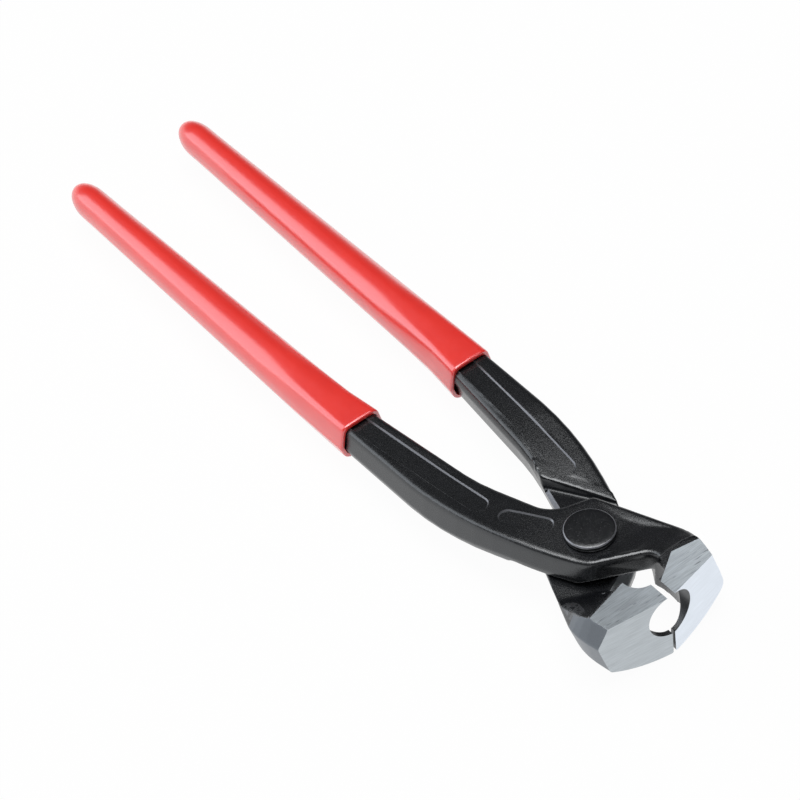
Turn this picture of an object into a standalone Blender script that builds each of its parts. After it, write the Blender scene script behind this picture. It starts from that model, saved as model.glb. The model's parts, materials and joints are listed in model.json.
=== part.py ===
"""Ear clamp pliers: two forged levers crossing in a lap joint, one rivet and two dipped grips.

Every lever is drawn in its own frame: the rivet axis is Z through the origin, the jaw points to +X,
the handle to -X and -Y, and the lap face looks down. The rear lever is the same forging turned over
about X, with a slightly wider jaw. Lengths are in metres.
"""

import math

import bmesh
import bpy
import numpy as np
from mathutils import Matrix
from mathutils.geometry import delaunay_2d_cdt

# Overall
OVERALL_LENGTH = 0.2200
FRONT_REACH = 0.0297
JAW_TOP = 0.0093
BELLY_DEPTH = 0.0106
SLIT = 0.0008
CLEARANCE = 0.0003

# Handle of the lever: distance of its edges from the middle line, and its heights
GRIP_TIP_WALL = 0.0041
TANG_END_INNER = 0.0147
TANG_END_WIDTH = 0.0057
TANG_END_HALF_THICKNESS = 0.0029
TANG_CORNER = 0.0022
HANDLE_SWELL_X = -0.0900
HANDLE_SWELL_OUTER = 0.0219
HANDLE_SWELL_RADIUS = 0.300
HANDLE_NECK_X = -0.0780
HANDLE_NECK_INNER = 0.0119
HANDLE_NECK_RADIUS = 0.080
HANDLE_HALF_THICKNESS = 0.0041
HANDLE_DRAFT = math.radians(8.0)
HANDLE_PARTING = -0.0015
EDGE_ROUND = 0.0012

# Lever bend and the plate that crosses the rivet
INNER_BEND_X = -0.0320
INNER_BEND_INNER = 0.0070
INNER_BEND_RADIUS = 0.060
OUTER_BEND_OUTER = 0.0215
OUTER_BEND_RADIUS = 0.105
PLATE_THICKNESS = 0.0070
HANDLE_RISE_X = -0.0420
HANDLE_RISE_HEIGHT = 0.0048
HEEL_START_X = -0.0200
HEEL_START_DEPTH = 0.0021
HEEL_END_X = -0.0095
HEEL_END_DEPTH = 0.0006
PLATE_FLAT = 0.0120
PLATE_PARTING = 0.0019
PLATE_HEEL_X = -0.0129
PLATE_HEEL_Y = -0.0017
PLATE_HEEL_RADIUS = 0.007
PLATE_PEAK_X = -0.0095
PLATE_PEAK_Y = 0.0090
PLATE_PEAK_RADIUS = 0.0025
PLATE_TOE_X = 0.0090
PLATE_TOE_Y = -0.0074
PLATE_TOE_RADIUS = 0.007
PLATE_TOE_RUN = 0.0041
PLATE_FRONT_ANGLE = math.radians(63.0)

# Jaw
CAVITY_HALF_WIDTH = 0.0057
CAVITY_END_X = 0.0237
CAVITY_FRONT_SHARE = 0.887
CAVITY_BACK_SHARE = 0.76
CAVITY_DRAFT = math.radians(2.0)
FRONT_JAW_HALF_WIDTH = 0.0181
REAR_JAW_HALF_WIDTH = 0.0197
JAW_BACK_ANGLE = math.radians(23.9)
JAW_TAPER = math.radians(15.0)
JAW_SHOULDER_RADIUS = 0.016
JAW_TOP_DRAFT = math.radians(14.5)
JAW_BOTTOM_DRAFT = math.radians(25.0)
JAW_PARTING = -0.0040
JAW_RISE_X = 0.0070
FACET_LENGTH = 0.0102
GRIND_STOCK = 0.0008
FRONT_STOCK = 0.0045
GROUND_EDGE = 0.00006

# Machined on the assembled head
FRONT_SWEEP = math.radians(9.75)
FRONT_SKEW = math.radians(2.25)
BELLY_RADIUS = 0.036
HOLE_RADIUS = 0.0065
HOLE_BREAK_WIDTH = 0.0016
FRONT_WALL = 0.0016
HOLLOW_BACK_X = 0.0125
HOLLOW_TOP = 0.0062
HOLLOW_TOP_INSET = 0.0016
HOLLOW_TOP_SPREAD = 1.09
HOLLOW_WAIST = -0.0035
HOLLOW_WAIST_SPREAD = 1.10
HOLLOW_MOUTH_INSET = 0.0007
HOLLOW_MOUTH_SPREAD = 1.48

# Lap recess under the plate: a steep shoulder on the handle, a ramp down to the jaw
SHOULDER_DISTANCE = 0.0190
SHOULDER_ANGLE = math.radians(-30.4)
SHOULDER_LEAN = math.radians(30.0)
RAMP_CLEARANCE = 0.0013
RAMP_TOP_INNER_X = 0.0191
RAMP_TOP_OUTER_X = 0.0216
RAMP_INNER_Y = 0.0030
RAMP_OUTER_Y = 0.0123
RAMP_TOP_INNER_Y = 0.0083
RAMP_TOP_OUTER_Y = 0.0184

# Relief along the plate's front edge, on the lap side
RELIEF_DEPTH = 0.0028
RELIEF_HEIGHT = 0.0030
RELIEF_END_Y = 0.0062
RELIEF_FOOT = -0.0040

# Bare recessed panels on the forging
PANEL_DEPTH = 0.0004
PANEL_LIFT = 0.0010
PANEL_WIDTH = 0.0052
TOP_PANEL_START = (-0.0750, -0.0175)
TOP_PANEL_END = (-0.0262, -0.0131)
BOTTOM_PANEL_START = (-0.0750, -0.0155)
BOTTOM_PANEL_END = (-0.0240, -0.0120)
SHORT_PANEL_WIDTH = 0.0044
SHORT_PANEL_START = (-0.0180, -0.0108)
SHORT_PANEL_END = (-0.0095, -0.0060)

# Rivet
RIVET_HEAD_RADIUS = 0.00645
RIVET_HEAD_HEIGHT = 0.0016
RIVET_EDGE_ROUND = 0.0006
RIVET_SHANK_RADIUS = 0.0042

# Grips
GRIP_WALL = 0.0010
GRIP_TIP_LENGTH = 0.0080
GRIP_CORNER = 0.60
GRIP_BORE_CORNER = 0.42
FRONT_LIP_X = -0.0683
REAR_LIP_X = -0.0655

# How finely round forms are drawn
ARC_STEP = math.radians(11.0)
ARC_CHORD = 0.006
LID_SPACING = 0.004
HEIGHT_BLUR = 0.003
PARTING_BLUR = 0.004
ROUND_SEGMENTS = 48
GRIP_SEGMENTS = 32
GRIP_RINGS = 12
GRIP_TIP_RINGS = 6

FAR = 0.06
GRIP_END_X = FRONT_REACH - OVERALL_LENGTH
TANG_END_X = GRIP_END_X + GRIP_TIP_WALL
TANG_END_OUTER = TANG_END_INNER + TANG_END_WIDTH
JAW_FACET_X = FRONT_REACH - FACET_LENGTH
HOLLOW_WAIST_RADIUS = (FRONT_REACH - FRONT_WALL - HOLLOW_BACK_X) / 2
HOLLOW_TOP_RADIUS = HOLLOW_WAIST_RADIUS - HOLLOW_TOP_INSET
HOLLOW_MOUTH_RADIUS = HOLLOW_WAIST_RADIUS - HOLLOW_MOUTH_INSET
HOLLOW_X = HOLLOW_BACK_X + HOLLOW_WAIST_RADIUS

BLACK_STEEL = (0.018, 0.019, 0.022, 1.0)
RIVET_STEEL = (0.012, 0.012, 0.014, 1.0)
GRIP_RED = (0.66, 0.03, 0.018, 1.0)


def clear_scene():
    for item in list(bpy.data.objects):
        bpy.data.objects.remove(item)


def make_material(name, colour, roughness, metallic):
    material = bpy.data.materials.new(name)
    material.use_nodes = True
    shader = material.node_tree.nodes["Principled BSDF"]
    shader.inputs["Base Color"].default_value = colour
    shader.inputs["Roughness"].default_value = roughness
    shader.inputs["Metallic"].default_value = metallic
    return material


def object_from(mesh_builder, name, material=None, parent=None):
    bmesh.ops.recalc_face_normals(mesh_builder, faces=mesh_builder.faces)
    mesh = bpy.data.meshes.new(name)
    mesh_builder.to_mesh(mesh)
    mesh_builder.free()
    item = bpy.data.objects.new(name, mesh)
    bpy.context.scene.collection.objects.link(item)
    item.parent = parent
    if material:
        mesh.materials.append(material)
        mesh.shade_smooth()
        mesh.set_sharp_from_angle(angle=math.radians(30))
    return item


def smooth_height(stations, blur):
    """A height along X: straight runs between the stations, their corners rounded over blur."""
    xs, zs = np.array(sorted(stations)).T
    window = np.linspace(-blur, blur, 9)

    def height(x):
        return float(np.interp(x + window, xs, zs).mean())

    return height


def corner_arc(before, corner, after, radius):
    """Points of the round that replaces one corner of an outline."""
    corner = np.array(corner)
    if not radius:
        return [corner]
    back = np.array(before) - corner
    ahead = np.array(after) - corner
    back /= np.linalg.norm(back)
    ahead /= np.linalg.norm(ahead)
    half_angle = math.acos(np.clip(back @ ahead, -1, 1)) / 2
    turn = math.pi - 2 * half_angle
    middle = (back + ahead) / np.linalg.norm(back + ahead)
    centre = corner + middle * radius / math.sin(half_angle)
    side = math.copysign(1.0, ahead[0] * back[1] - ahead[1] * back[0])
    steps = max(2, math.ceil(turn / ARC_STEP), math.ceil(turn * radius / ARC_CHORD))
    start = corner + back * radius / math.tan(half_angle) - centre
    angles = [side * turn * step / steps for step in range(steps + 1)]
    turns = [np.array([[math.cos(a), -math.sin(a)], [math.sin(a), math.cos(a)]]) for a in angles]
    return [centre + rotation @ start for rotation in turns]


def rounded_outline(corners):
    """The outline's points, with the draft up, the draft down and the edge round at each of them."""
    points = []
    forms = []
    for index, (x, y, radius, *form) in enumerate(corners):
        before = corners[index - 1][:2]
        after = corners[(index + 1) % len(corners)][:2]
        arc = corner_arc(before, (x, y), after, radius)
        points.extend(arc)
        forms.extend([form] * len(arc))
    return np.array(points), np.array(forms)


def inset_loop(points, distance):
    """The closed loop moved inwards by a distance of its own at each point."""
    edges = np.roll(points, -1, axis=0) - points
    edges /= np.linalg.norm(edges, axis=1)[:, None]
    inward = np.stack([-edges[:, 1], edges[:, 0]], axis=1)
    bisector = inward + np.roll(inward, 1, axis=0)
    bisector /= (bisector * inward).sum(axis=1)[:, None]
    return points + bisector * np.asarray(distance)[:, None]


def plate_front_x(y):
    """The plate's front edge, in front of the rivet."""
    return PLATE_TOE_X + (y - PLATE_TOE_Y) / math.tan(PLATE_FRONT_ANGLE)


def outer_bend_x():
    """Where the handle's outer edge would meet the toe's run, with the bend between them ending there."""
    rise = OUTER_BEND_OUTER + PLATE_TOE_Y
    reach = math.hypot(OUTER_BEND_RADIUS, PLATE_TOE_RUN)
    turn = math.acos((OUTER_BEND_RADIUS - rise) / reach) - math.atan2(PLATE_TOE_RUN, OUTER_BEND_RADIUS)
    return PLATE_TOE_X - (PLATE_TOE_RUN + OUTER_BEND_RADIUS * math.tan(turn / 2)) * math.cos(turn)


def jaw_shoulder(half_width):
    """Where the jaw's back edge, rising from the plate's peak, meets its side, which tapers to the front."""
    climb, taper = math.tan(JAW_BACK_ANGLE), math.tan(JAW_TAPER)
    rise = half_width - PLATE_PEAK_Y + taper * (FRONT_REACH - PLATE_PEAK_X)
    run = rise / (climb + taper)
    return PLATE_PEAK_X + run, PLATE_PEAK_Y + run * climb


def lever_corners(half_width):
    handle = (HANDLE_DRAFT, HANDLE_DRAFT, EDGE_ROUND)
    cavity = (CAVITY_DRAFT, CAVITY_DRAFT, EDGE_ROUND)
    jaw = (JAW_TOP_DRAFT, JAW_BOTTOM_DRAFT, EDGE_ROUND)
    jaw_front = (JAW_TOP_DRAFT, JAW_BOTTOM_DRAFT, GROUND_EDGE)
    ground = (0.0, 0.0, GROUND_EDGE)
    stock_x = FRONT_REACH + FRONT_STOCK
    cavity_back_x = plate_front_x(CAVITY_HALF_WIDTH)
    cavity_front_radius = CAVITY_FRONT_SHARE * (CAVITY_HALF_WIDTH - SLIT / 2)
    cavity_back_run = CAVITY_BACK_SHARE * (CAVITY_END_X - cavity_back_x - cavity_front_radius)
    cavity_back_radius = cavity_back_run / math.tan(PLATE_FRONT_ANGLE / 2)
    return [
        (TANG_END_X, -TANG_END_OUTER, TANG_CORNER, *handle),
        (HANDLE_SWELL_X, -HANDLE_SWELL_OUTER, HANDLE_SWELL_RADIUS, *handle),
        (outer_bend_x(), -OUTER_BEND_OUTER, OUTER_BEND_RADIUS, *handle),
        (PLATE_TOE_X, PLATE_TOE_Y, PLATE_TOE_RADIUS, *handle),
        (cavity_back_x, CAVITY_HALF_WIDTH, cavity_back_radius, *cavity),
        (CAVITY_END_X, CAVITY_HALF_WIDTH, cavity_front_radius, *ground),
        (CAVITY_END_X, SLIT / 2, 0, *ground),
        (stock_x, SLIT / 2, 0, *ground),
        (stock_x, half_width - FRONT_STOCK * math.tan(JAW_TAPER), 0, *jaw_front),
        (*jaw_shoulder(half_width), JAW_SHOULDER_RADIUS, *jaw),
        (PLATE_PEAK_X, PLATE_PEAK_Y, PLATE_PEAK_RADIUS, *handle),
        (PLATE_HEEL_X, PLATE_HEEL_Y, PLATE_HEEL_RADIUS, *handle),
        (INNER_BEND_X, -INNER_BEND_INNER, INNER_BEND_RADIUS, *handle),
        (HANDLE_NECK_X, -HANDLE_NECK_INNER, HANDLE_NECK_RADIUS, *handle),
        (TANG_END_X, -TANG_END_INNER, TANG_CORNER, *handle),
    ]


JAW_STOCK = BELLY_DEPTH + GRIND_STOCK
top_height = smooth_height(
    [
        (TANG_END_X, TANG_END_HALF_THICKNESS),
        (FRONT_LIP_X, HANDLE_HALF_THICKNESS),
        (HANDLE_RISE_X, HANDLE_RISE_HEIGHT),
        (-PLATE_FLAT, PLATE_THICKNESS),
        (JAW_RISE_X, PLATE_THICKNESS),
        (JAW_FACET_X, JAW_TOP),
        (CAVITY_END_X, JAW_STOCK),
    ],
    blur=HEIGHT_BLUR,
)
bottom_height = smooth_height(
    [
        (TANG_END_X, -TANG_END_HALF_THICKNESS),
        (FRONT_LIP_X, -HANDLE_HALF_THICKNESS),
        (HANDLE_RISE_X, -HANDLE_HALF_THICKNESS),
        (HEEL_START_X, -HEEL_START_DEPTH),
        (HEEL_END_X, -HEEL_END_DEPTH),
        (PLATE_TOE_X, -JAW_STOCK),
    ],
    blur=HEIGHT_BLUR,
)
parting_height = smooth_height(
    [
        (INNER_BEND_X, HANDLE_PARTING),
        (-PLATE_FLAT, PLATE_PARTING),
        (JAW_RISE_X, PLATE_PARTING),
        (JAW_FACET_X, JAW_PARTING),
    ],
    blur=PARTING_BLUR,
)


def cap_points(outline, spacing):
    """Points inside an outline on lines of constant X, so that a cap over them follows the height."""
    inner = []
    low, high = outline.min(axis=0), outline.max(axis=0)
    ends = np.roll(outline, -1, axis=0)
    for x in np.arange(low[0] + spacing, high[0] - spacing / 2, spacing):
        crossing = (outline[:, 0] - x) * (ends[:, 0] - x) < 0
        share = (x - outline[crossing, 0]) / (ends[crossing, 0] - outline[crossing, 0])
        ys = np.sort(outline[crossing, 1] + share * (ends[crossing, 1] - outline[crossing, 1]))
        for start, end in zip(ys[::2], ys[1::2]):
            count = max(1, int((end - start) / spacing))
            inner.extend((x, start + (end - start) * (i + 0.5) / count) for i in range(count))
    return inner


def add_cap(builder, ring, height):
    """A triangulated lid over a ring of vertices, following the height along X."""
    outline = np.array([vert.co[:2] for vert in ring])
    extra = cap_points(outline, LID_SPACING)
    flat = [tuple(point) for point in outline] + extra
    border = [(i, (i + 1) % len(ring)) for i in range(len(ring))]
    points, _, faces, sources, _, _ = delaunay_2d_cdt(flat, border, [], 1, 1e-7)
    verts = []
    for point, source in zip(points, sources):
        on_ring = [index for index in source if index < len(ring)]
        verts.append(ring[on_ring[0]] if on_ring else builder.verts.new((*point, height(point.x))))
    for face in faces:
        builder.faces.new([verts[index] for index in face])


def lever_forging(half_width):
    """The forging before machining: a parting line all round, drafted sides, rounded edges and lids."""
    outline, forms = rounded_outline(lever_corners(half_width))
    draft_up, draft_down, edge = forms.T
    parting = np.array([parting_height(x) for x in outline[:, 0]])
    top = np.array([top_height(x) for x in outline[:, 0]])
    bottom = np.array([bottom_height(x) for x in outline[:, 0]])
    inset_up = np.tan(draft_up) * (top - parting)
    inset_down = np.tan(draft_down) * (parting - bottom)
    half = 1 - math.cos(math.pi / 4)
    layers = [
        (inset_up + edge, top),
        (inset_up + edge * half, top - edge * half),
        (inset_up, top - edge),
        (np.zeros(len(edge)), parting),
        (inset_down, bottom + edge),
        (inset_down + edge * half, bottom + edge * half),
        (inset_down + edge, bottom),
    ]
    builder = bmesh.new()
    rings = []
    for inset, height in layers:
        loop = inset_loop(outline, inset)
        rings.append([builder.verts.new((x, y, z)) for (x, y), z in zip(loop, height)])
    for upper, lower in zip(rings, rings[1:]):
        for i in range(len(upper)):
            j = (i + 1) % len(upper)
            builder.faces.new((upper[i], lower[i], lower[j], upper[j]))
    add_cap(builder, rings[0], top_height)
    add_cap(builder, rings[-1], bottom_height)
    return builder


def prism(lower, upper, low_z, high_z):
    """A closed solid between two outlines with the same number of corners."""
    builder = bmesh.new()
    floor = [builder.verts.new((x, y, low_z)) for x, y in lower]
    roof = [builder.verts.new((x, y, high_z)) for x, y in upper]
    builder.faces.new(floor)
    builder.faces.new(roof)
    for i in range(len(floor)):
        j = (i + 1) % len(floor)
        builder.faces.new((floor[i], floor[j], roof[j], roof[i]))
    return builder


def along(start, end, share):
    return tuple(a + (b - a) * share for a, b in zip(start, end))


def lap_recess():
    """What is machined off the lap side: floor at the lap plane, shoulder to the handle, ramp to the jaw."""
    floor_z = CLEARANCE / 2
    low_z = -JAW_STOCK - GRIND_STOCK
    fall = floor_z - low_z
    run = np.array([math.cos(SHOULDER_ANGLE), math.sin(SHOULDER_ANGLE)])
    away = np.array([run[1], -run[0]])
    foot = away * SHOULDER_DISTANCE
    lower_foot = foot + away * fall * math.tan(SHOULDER_LEAN)
    offset = RAMP_CLEARANCE / math.sin(PLATE_FRONT_ANGLE)
    foot_inner = (plate_front_x(-RAMP_INNER_Y) + offset, RAMP_INNER_Y)
    foot_outer = (plate_front_x(-RAMP_OUTER_Y) + offset, RAMP_OUTER_Y)
    deeper = fall / (floor_z + JAW_TOP)
    low_inner = along(foot_inner, (RAMP_TOP_INNER_X, RAMP_TOP_INNER_Y), deeper)
    low_outer = along(foot_outer, (RAMP_TOP_OUTER_X, RAMP_TOP_OUTER_Y), deeper)
    shares = np.linspace(-0.9, 2.0, 13)
    roof = [tuple(foot - run * 0.6 * FAR), tuple(foot + run * 0.6 * FAR)]
    floor = [tuple(lower_foot - run * 0.6 * FAR), tuple(lower_foot + run * 0.6 * FAR)]
    roof += [along(foot_inner, foot_outer, share) for share in shares]
    floor += [along(low_inner, low_outer, share) for share in shares]
    return prism(floor, roof, low_z, floor_z)


def edge_relief():
    """A slanting relief along the plate's front edge on the lap side, from the toe to the jaw."""
    ahead = np.array([math.cos(PLATE_FRONT_ANGLE), math.sin(PLATE_FRONT_ANGLE)])
    outward = np.array([ahead[1], -ahead[0]])
    end = np.array([plate_front_x(RELIEF_END_Y), RELIEF_END_Y])
    start = np.array([PLATE_TOE_X, PLATE_TOE_Y]) - ahead * PLATE_TOE_RADIUS
    slope = RELIEF_DEPTH / RELIEF_HEIGHT
    deep = -RELIEF_DEPTH + slope * RELIEF_FOOT
    wide = slope * RELIEF_HEIGHT
    lower = [start + outward * deep, end + outward * deep, end + outward * wide, start + outward * wide]
    upper = [start, end, end + outward * wide, start + outward * wide]
    return prism([tuple(p) for p in lower], [tuple(p) for p in upper], RELIEF_FOOT, RELIEF_HEIGHT)


def front_grind():
    """Stock ahead of the two front faces, which are swept back from their ridge at the slit."""
    front_back = FRONT_REACH - FAR * math.tan(FRONT_SWEEP + FRONT_SKEW)
    rear_back = FRONT_REACH - FAR * math.tan(FRONT_SWEEP - FRONT_SKEW)
    shape = [(FRONT_REACH, 0), (rear_back, -FAR), (FAR, -FAR), (FAR, FAR), (front_back, FAR)]
    return prism(shape, shape, -FAR, FAR)


def facet_grind():
    """Stock above the flat ground facets of both jaws."""
    shape = [(JAW_RISE_X, -FAR), (FAR, -FAR), (FAR, FAR), (JAW_RISE_X, FAR)]
    return prism(shape, shape, JAW_TOP, FAR)


def belly_grind():
    """Stock below the jaws, whose underside is rounded across."""
    reach = 0.8 * BELLY_RADIUS
    arc = []
    for y in np.linspace(-reach, reach, 33):
        arc.append((y, BELLY_RADIUS - BELLY_DEPTH - math.sqrt(BELLY_RADIUS**2 - y**2)))
    shape = [(reach, -FAR), *reversed(arc), (-reach, -FAR)]
    builder = prism(shape, shape, 0, FAR)
    turn = Matrix(((0, 0, 1, 0), (1, 0, 0, 0), (0, 1, 0, 0), (0, 0, 0, 1)))
    bmesh.ops.transform(builder, matrix=turn, verts=builder.verts)
    return builder


def round_bar(radius, length):
    builder = bmesh.new()
    bmesh.ops.create_cone(
        builder, cap_ends=True, segments=ROUND_SEGMENTS, radius1=radius, radius2=radius, depth=length
    )
    return builder


def rivet_bore():
    return round_bar(RIVET_SHANK_RADIUS + CLEARANCE, 2 * FAR)


def turned(profile):
    """A closed solid of revolution about Z from a profile of radii and heights that ends on the axis."""
    builder = bmesh.new()
    verts = [builder.verts.new((r, 0, z)) for r, z in profile]
    edges = [builder.edges.new(pair) for pair in zip(verts, verts[1:])]
    bmesh.ops.spin(
        builder, geom=verts + edges, cent=(0, 0, 0), axis=(0, 0, 1), angle=2 * math.pi, steps=ROUND_SEGMENTS
    )
    bmesh.ops.remove_doubles(builder, verts=builder.verts, dist=1e-6)
    return builder


def jaw_hollow():
    """The hollow behind the front wall: closed above by a lip, spreading sideways to its open mouth below."""
    mouth = -BELLY_DEPTH - 2 * GRIND_STOCK
    sections = [
        (HOLLOW_TOP, HOLLOW_TOP_RADIUS, HOLLOW_TOP_SPREAD),
        (HOLLOW_WAIST, HOLLOW_WAIST_RADIUS, HOLLOW_WAIST_SPREAD),
        (mouth, HOLLOW_MOUTH_RADIUS, HOLLOW_MOUTH_SPREAD),
    ]
    builder = bmesh.new()
    rings = []
    for height, radius, spread in sections:
        ring = []
        for i in range(ROUND_SEGMENTS):
            angle = 2 * math.pi * (i + 0.5) / ROUND_SEGMENTS
            x, y = HOLLOW_X + radius * math.cos(angle), radius * spread * math.sin(angle)
            ring.append(builder.verts.new((x, y, height)))
        rings.append(ring)
    for upper, lower in zip(rings, rings[1:]):
        for i in range(ROUND_SEGMENTS):
            j = (i + 1) % ROUND_SEGMENTS
            builder.faces.new((upper[i], upper[j], lower[j], lower[i]))
    builder.faces.new(rings[0])
    builder.faces.new(rings[-1])
    return builder


def clamp_hole():
    """The hole across the slit, from the front into the hollow; it just breaks out of the facets."""
    height = JAW_TOP - math.sqrt(HOLE_RADIUS**2 - (HOLE_BREAK_WIDTH / 2) ** 2)
    builder = round_bar(HOLE_RADIUS, FAR)
    turn = Matrix.Rotation(math.pi / 2, 4, "Y")
    place = Matrix.Translation((HOLLOW_X - CLEARANCE + FAR / 2, 0, height))
    bmesh.ops.transform(builder, matrix=place @ turn, verts=builder.verts)
    return builder


def handle_edges(x):
    """Distance of the handle's inner and outer edge from the middle line."""
    inner = np.interp(
        x,
        (TANG_END_X, HANDLE_NECK_X, INNER_BEND_X),
        (TANG_END_INNER, HANDLE_NECK_INNER, INNER_BEND_INNER),
    )
    outer = np.interp(
        x,
        (TANG_END_X, HANDLE_SWELL_X, outer_bend_x()),
        (TANG_END_OUTER, HANDLE_SWELL_OUTER, OUTER_BEND_OUTER),
    )
    return float(inner), float(outer)


def panel_cutter(start, end, width, height):
    """A bar with round ends, sunk by the panel depth into the surface that has this height along X."""
    start, end = np.array(start), np.array(end)
    length = np.linalg.norm(end - start)
    ahead = (end - start) / length
    aside = np.array([-ahead[1], ahead[0]])
    radius = width / 2
    angles = np.linspace(math.radians(4), math.pi / 2, 6)
    rounds = [(radius * math.cos(a), radius * math.sin(a)) for a in angles]
    middle = [(length * i / 10, radius) for i in range(1, 10)]
    stations = [(-d, w) for d, w in rounds] + middle + [(length + d, w) for d, w in reversed(rounds)]
    builder = bmesh.new()
    rings = []
    for run, half in stations:
        ring = []
        for lift, side in ((-PANEL_DEPTH, -1), (-PANEL_DEPTH, 1), (PANEL_LIFT, 1), (PANEL_LIFT, -1)):
            x, y = start + ahead * run + aside * side * half
            z = height(x)
            ring.append(builder.verts.new((x, y, z + math.copysign(lift, lift * z))))
        rings.append(ring)
    for near, far in zip(rings, rings[1:]):
        for i in range(4):
            j = (i + 1) % 4
            builder.faces.new((near[i], near[j], far[j], far[i]))
    builder.faces.new(rings[0])
    builder.faces.new(rings[-1])
    return builder


def add_cutter(builder, name, parent):
    cutter = object_from(builder, name, parent=parent)
    cutter.hide_render = True
    cutter.display_type = "WIRE"
    return cutter


def cut(item, cutter):
    modifier = item.modifiers.new(cutter.name, "BOOLEAN")
    modifier.operation = "DIFFERENCE"
    modifier.object = cutter


def build_lever(name, material, parent, half_width, head_cutters):
    """One forging with its own lap and panels, then the cuts made on the assembled head."""
    lever = object_from(lever_forging(half_width), name, material, parent)
    own = {
        "lap_recess": lap_recess(),
        "edge_relief": edge_relief(),
        "top_panel": panel_cutter(TOP_PANEL_START, TOP_PANEL_END, PANEL_WIDTH, top_height),
        "bottom_panel": panel_cutter(BOTTOM_PANEL_START, BOTTOM_PANEL_END, PANEL_WIDTH, bottom_height),
        "short_panel": panel_cutter(SHORT_PANEL_START, SHORT_PANEL_END, SHORT_PANEL_WIDTH, top_height),
    }
    for part, builder in own.items():
        cut(lever, add_cutter(builder, name + "_" + part, parent))
    for cutter in head_cutters:
        cut(lever, cutter)
    return lever


def build_rivet(material, parent):
    """One turned solid: a shank through both plates and a flat head on each side."""
    seat = PLATE_THICKNESS + CLEARANCE
    face = seat + RIVET_HEAD_HEIGHT
    angles = np.linspace(math.pi / 2, 0, 4)
    rim = RIVET_HEAD_RADIUS - RIVET_EDGE_ROUND
    edge = [
        (rim + RIVET_EDGE_ROUND * math.cos(a), face + RIVET_EDGE_ROUND * (math.sin(a) - 1)) for a in angles
    ]
    upper = [(0.0, face), *edge, (RIVET_HEAD_RADIUS, seat), (RIVET_SHANK_RADIUS, seat)]
    profile = upper + [(r, -z) for r, z in reversed(upper)]
    return object_from(turned(profile), "rivet", material, parent)


def grip_ring(builder, x, grown, corner, scale=1.0):
    """A rounded section round the tang, grown past it on every side."""
    inner, outer = handle_edges(max(x, TANG_END_X))
    station = max(x, TANG_END_X)
    half_width = ((outer - inner) / 2 + grown) * scale
    half_height = (top_height(station) + grown) * scale
    ring = []
    for i in range(GRIP_SEGMENTS):
        angle = 2 * math.pi * i / GRIP_SEGMENTS
        c, s = math.cos(angle), math.sin(angle)
        y = math.copysign(abs(c) ** corner, c) * half_width
        z = math.copysign(abs(s) ** corner, s) * half_height
        ring.append(builder.verts.new((x, y - (inner + outer) / 2, z)))
    return ring


def build_grip(name, material, parent, lip_x):
    """A dipped sleeve: open at the lip, closed and rounded at the end of the handle."""
    builder = bmesh.new()
    bore_end = TANG_END_X - CLEARANCE
    tip_start = GRIP_END_X + GRIP_TIP_LENGTH
    grown = CLEARANCE + GRIP_WALL
    outside = [grip_ring(builder, x, grown, GRIP_CORNER) for x in np.linspace(lip_x, tip_start, GRIP_RINGS)]
    for step in range(1, GRIP_TIP_RINGS):
        angle = math.pi / 2 * step / GRIP_TIP_RINGS
        x = tip_start - GRIP_TIP_LENGTH * math.sin(angle)
        outside.append(grip_ring(builder, x, grown, GRIP_CORNER, math.cos(angle) ** 0.8))
    bore_xs = np.linspace(lip_x, bore_end, GRIP_RINGS)
    inside = [grip_ring(builder, x, CLEARANCE, GRIP_BORE_CORNER) for x in bore_xs]
    for rings in (outside, inside, [outside[0], inside[0]]):
        for near, far in zip(rings, rings[1:]):
            for i in range(GRIP_SEGMENTS):
                j = (i + 1) % GRIP_SEGMENTS
                builder.faces.new((near[i], near[j], far[j], far[i]))
    inner, outer = handle_edges(TANG_END_X)
    pole = builder.verts.new((GRIP_END_X, -(inner + outer) / 2, 0))
    for i in range(GRIP_SEGMENTS):
        builder.faces.new((outside[-1][i], outside[-1][(i + 1) % GRIP_SEGMENTS], pole))
    builder.faces.new(inside[-1])
    return object_from(builder, name, material, parent)


def add_empty(name, parent=None):
    empty = bpy.data.objects.new(name, None)
    bpy.context.scene.collection.objects.link(empty)
    empty.parent = parent
    return empty


clear_scene()
pivot = add_empty("pivot")
pivot.location = (-(FRONT_REACH + GRIP_END_X) / 2, 0, BELLY_DEPTH)
turned_over = add_empty("turned_over", pivot)
turned_over.rotation_euler = (math.pi, 0, 0)

front_steel = make_material("front_lever_steel", BLACK_STEEL, 0.42, 0.7)
rear_steel = make_material("rear_lever_steel", BLACK_STEEL, 0.42, 0.7)
rivet_steel = make_material("rivet_steel", RIVET_STEEL, 0.35, 0.7)
front_dip = make_material("front_grip_dip", GRIP_RED, 0.28, 0.0)
rear_dip = make_material("rear_grip_dip", GRIP_RED, 0.28, 0.0)

head_cuts = {
    "rivet_bore": rivet_bore(),
    "front_grind": front_grind(),
    "facet_grind": facet_grind(),
    "belly_grind": belly_grind(),
    "jaw_hollow": jaw_hollow(),
    "clamp_hole": clamp_hole(),
}
head_cutters = [add_cutter(builder, name, pivot) for name, builder in head_cuts.items()]
build_lever("front_lever", front_steel, pivot, FRONT_JAW_HALF_WIDTH, head_cutters)
build_lever("rear_lever", rear_steel, turned_over, REAR_JAW_HALF_WIDTH, head_cutters)
build_rivet(rivet_steel, pivot)
build_grip("front_grip", front_dip, pivot, FRONT_LIP_X)
build_grip("rear_grip", rear_dip, turned_over, REAR_LIP_X)
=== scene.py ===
"""Ear clamp pliers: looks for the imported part.

Meshes are in metres, in the frame of the CAD. Sizes are in millimetres from the rivet's axis and the lap
plane, with X towards the jaws, Y across and Z up. The rear lever is the front one turned over about X, so
side is 1 on the front lever and -1 on the rear one, and a place on a lever is multiplied by it in Y and Z.
"""

import json
import math

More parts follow.
